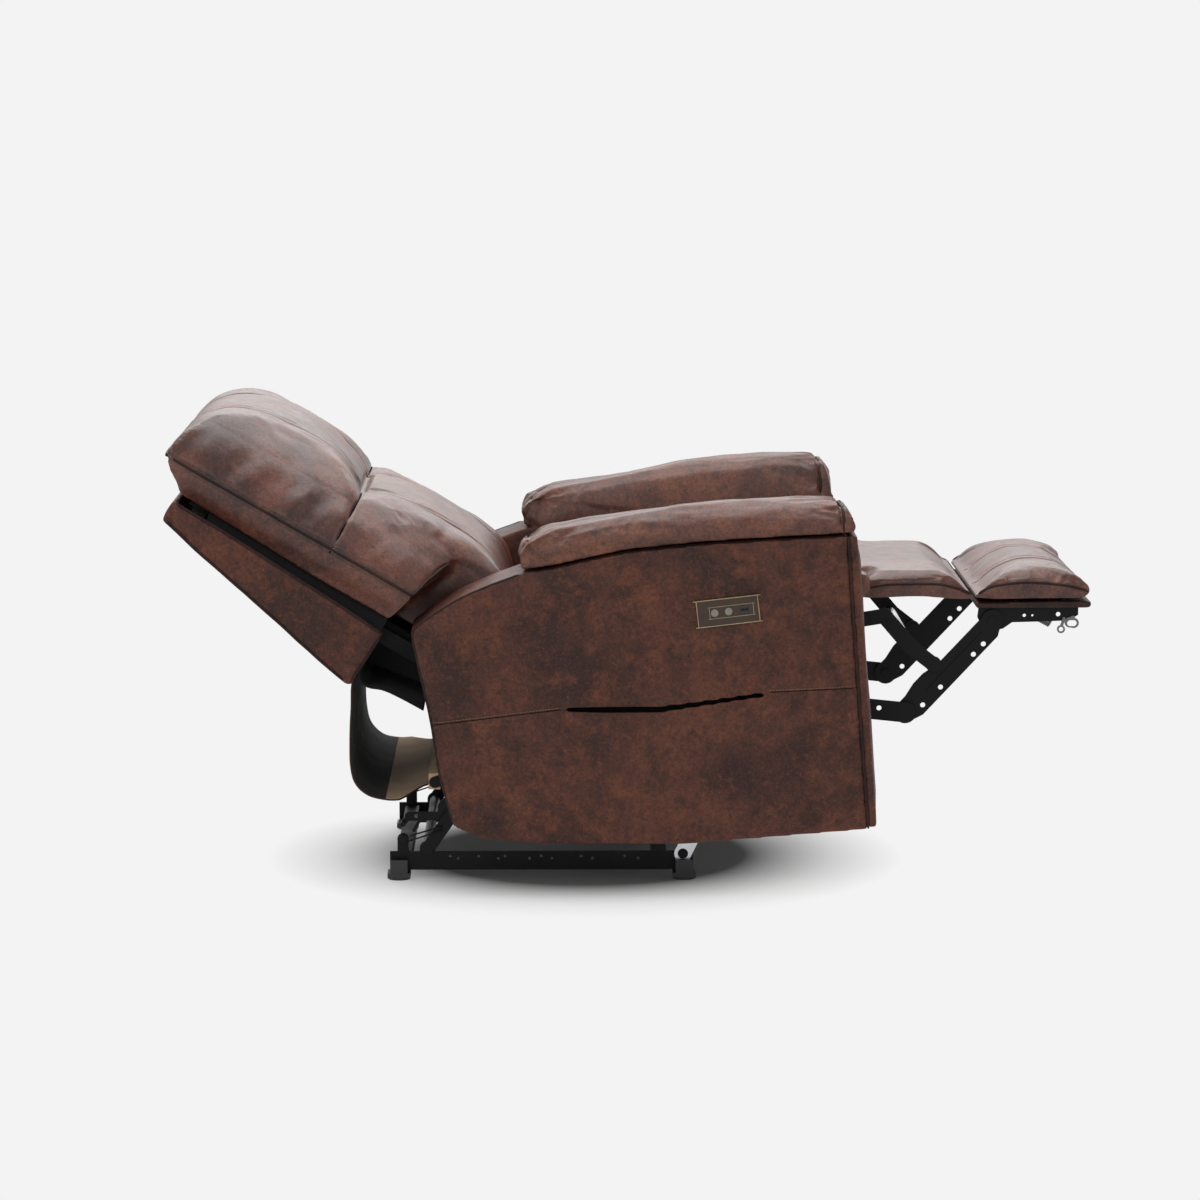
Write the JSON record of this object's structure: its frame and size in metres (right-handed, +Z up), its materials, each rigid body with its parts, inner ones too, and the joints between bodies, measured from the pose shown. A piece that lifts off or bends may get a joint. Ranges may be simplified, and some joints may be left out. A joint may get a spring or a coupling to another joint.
{
  "type": "power recliner armchair",
  "caption": "Padded power recliner armchair with slim arms, a T-shaped two-pillow back and a chaise footrest on a steel linkage.",
  "frame": {"origin": "on the floor, at the middle of the fully reclined chair's length and width", "axes": "+X is the way the sitter faces, +Z is up, +Y is the sitter's left"},
  "size_m": [1.6045, 0.8072, 0.8251],
  "materials": {
    "black_steel": "semi-gloss",
    "zinc_steel": "bright zinc",
    "timber": "raw",
    "brown_leather": "mottled, satin",
    "dark_leather": "mottled, satin",
    "black_plastic": "matte",
    "bronze_trim": "satin",
    "button_metal": "satin",
    "black_cloth": "woven"
  },
  "bodies": {
    "base": {"base_rail_right": "black_steel", "base_rail_left": "black_steel", "base_cross_tubes": "black_steel", "base_feet": "black_plastic", "rear_return_springs": "black_steel"},
    "front_swing": {"front_swing_link_right": "zinc_steel", "front_swing_link_left": "zinc_steel", "front_swing_tube": "black_steel"},
    "rear_swing": {"rear_swing_link_right": "black_steel", "rear_swing_link_left": "black_steel", "rear_swing_tube": "black_steel"},
    "seat_carriage": {"side_plate_right": "black_steel", "side_plate_left": "black_steel", "seat_rail_front": "timber", "seat_rail_rear": "timber", "seat_springs": "zinc_steel", "seat_cushion": "brown_leather", "arm_frame_right": "timber", "arm_frame_left": "timber", "arm_cover_right": "brown_leather", "arm_cover_left": "brown_leather", "arm_pad_right": "brown_leather", "arm_pad_left": "brown_leather", "arm_front_panel_right": "dark_leather", "arm_front_panel_left": "dark_leather", "rear_cross_rail": "timber", "control_plate": "bronze_trim", "usb_socket": "black_plastic", "pocket_bag": "black_cloth", "actuator_rail": "zinc_steel", "motor": "black_plastic", "power_inlet": "black_plastic"},
    "recline_button": {"recline_button": "button_metal"},
    "upright_button": {"upright_button": "button_metal"},
    "actuator_block": {"actuator_block": "black_plastic"},
    "footrest_drive": {"drive_tube": "black_steel", "lower_link_right": "black_steel", "lower_link_left": "black_steel"},
    "footrest_upper_links": {"upper_link_right": "black_steel", "upper_link_left": "black_steel", "footrest_cross_tube": "zinc_steel"},
    "footrest_long_link_right": {"long_link_right": "black_steel"},
    "footrest_long_link_left": {"long_link_left": "black_steel"},
    "footrest": {"footrest_bracket_right": "black_steel", "footrest_bracket_left": "black_steel", "footrest_board": "dark_leather", "footrest_pad": "brown_leather", "chaise_bridge_pad": "brown_leather", "bracket_springs": "zinc_steel", "bracket_eyes": "black_steel"},
    "back": {"back_bracket_right": "black_steel", "back_bracket_left": "black_steel", "back_upright_right": "timber", "back_upright_left": "timber", "back_cross_rails": "timber", "back_shell": "dark_leather", "head_cushion": "brown_leather", "lumbar_cushion": "brown_leather", "back_skirt": "dark_leather", "seat_gap_cloth": "black_cloth"}
  },
  "joints": [
    {"name": "recline_drive", "type": "hinge", "parent": "base", "child": "front_swing", "pos_m": [0.098, 0, 0.045], "axis": [0, -1, 0], "range_deg": [0, 63]},
    {"name": "seat_tilt", "type": "hinge", "parent": "front_swing", "child": "seat_carriage", "pos_m": [0.1813, 0, 0.2158], "axis": [0, -1, 0], "range_deg": [-66, 0]},
    {"name": "rear_swing", "type": "hinge", "parent": "base", "child": "rear_swing", "pos_m": [-0.348, 0, 0.054], "axis": [0, -1, 0], "range_deg": [0, 67.64], "deforming": ["rear_return_springs"]},
    {"name": "back_recline", "type": "hinge", "parent": "seat_carriage", "child": "back", "pos_m": [-0.221, 0, 0.31], "axis": [0, -1, 0], "range_deg": [-36, 0], "deforming": ["back_skirt", "seat_gap_cloth"]},
    {"name": "footrest_fold", "type": "hinge", "parent": "seat_carriage", "child": "footrest", "pos_m": [0.406, 0, 0.516], "axis": [0, -1, 0], "range_deg": [-90, 0]},
    {"name": "lower_link_turn", "type": "hinge", "parent": "seat_carriage", "child": "footrest_drive", "pos_m": [0.255, 0, 0.355], "axis": [0, -1, 0], "range_deg": [-90, 0]},
    {"name": "upper_link_turn", "type": "hinge", "parent": "seat_carriage", "child": "footrest_upper_links", "pos_m": [0.304, 0, 0.439], "axis": [0, -1, 0], "range_deg": [-90, 0]},
    {"name": "long_link_right_turn", "type": "hinge", "parent": "footrest_drive", "child": "footrest_long_link_right", "pos_m": [0.486, -0.232, 0.292], "axis": [0, -1, 0], "range_deg": [0, 90]},
    {"name": "long_link_left_turn", "type": "hinge", "parent": "footrest_drive", "child": "footrest_long_link_left", "pos_m": [0.486, 0.232, 0.292], "axis": [0, -1, 0], "range_deg": [0, 90]},
    {"name": "block_slide", "type": "slide", "parent": "seat_carriage", "child": "actuator_block", "axis": [1, 0, 0], "range_m": [-0.1273, 0]},
    {"name": "recline_button_press", "type": "slide", "parent": "seat_carriage", "child": "recline_button", "axis": [0, 1, 0], "range_m": [0, 0.0015], "stiffness_N_per_m": 600, "springref_m": -0.0005},
    {"name": "upright_button_press", "type": "slide", "parent": "seat_carriage", "child": "upright_button", "axis": [0, 1, 0], "range_m": [0, 0.0015], "stiffness_N_per_m": 600, "springref_m": -0.0005}
  ],
  "couplings": [
    {"joint": "seat_tilt", "follows": "recline_drive", "ratio": -1.0476},
    {"joint": "rear_swing", "follows": "recline_drive", "ratio": 1.0736},
    {"joint": "back_recline", "follows": "recline_drive", "ratio": -0.5714},
    {"joint": "lower_link_turn", "follows": "footrest_fold", "ratio": 1},
    {"joint": "upper_link_turn", "follows": "footrest_fold", "ratio": 1},
    {"joint": "long_link_right_turn", "follows": "footrest_fold", "ratio": -1},
    {"joint": "long_link_left_turn", "follows": "footrest_fold", "ratio": -1},
    {"joint": "block_slide", "follows": "footrest_fold", "m_per_rad": 0.08103}
  ]
}
